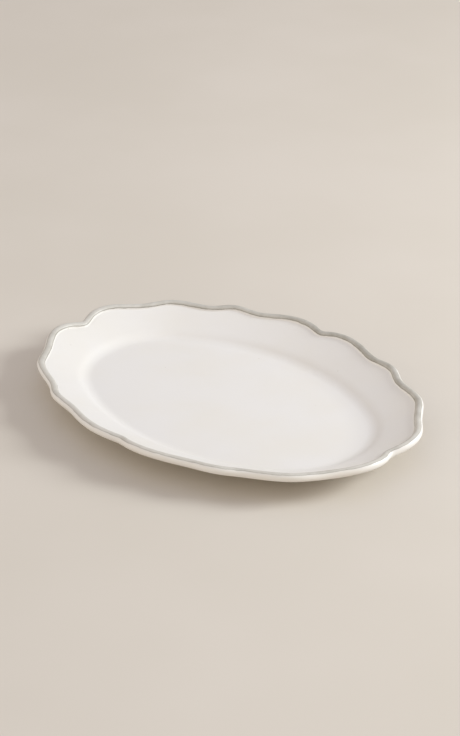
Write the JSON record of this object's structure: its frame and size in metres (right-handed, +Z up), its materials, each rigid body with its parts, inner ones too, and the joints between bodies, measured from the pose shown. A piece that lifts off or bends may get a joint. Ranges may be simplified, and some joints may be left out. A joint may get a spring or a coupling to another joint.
{
  "type": "oval serving platter",
  "caption": "Oval china serving platter with a scalloped edge, a flat well, a sloping rim and a coloured band round the edge.",
  "frame": {"origin": "centre of the foot ring's standing edge, on the table", "axes": "+Z up, +X along the platter's length"},
  "size_m": [0.3984, 0.2934, 0.0316],
  "materials": {
    "fired_clay": "matt unglazed porcelain",
    "white_glaze": "glossy white glaze",
    "grey_glaze": "glossy soft grey glaze"
  },
  "bodies": {
    "root": {"clay_body": "fired_clay", "face_glaze": "white_glaze", "back_glaze": "white_glaze", "base_glaze": "white_glaze", "rim_band": "grey_glaze"}
  },
  "joints": []
}
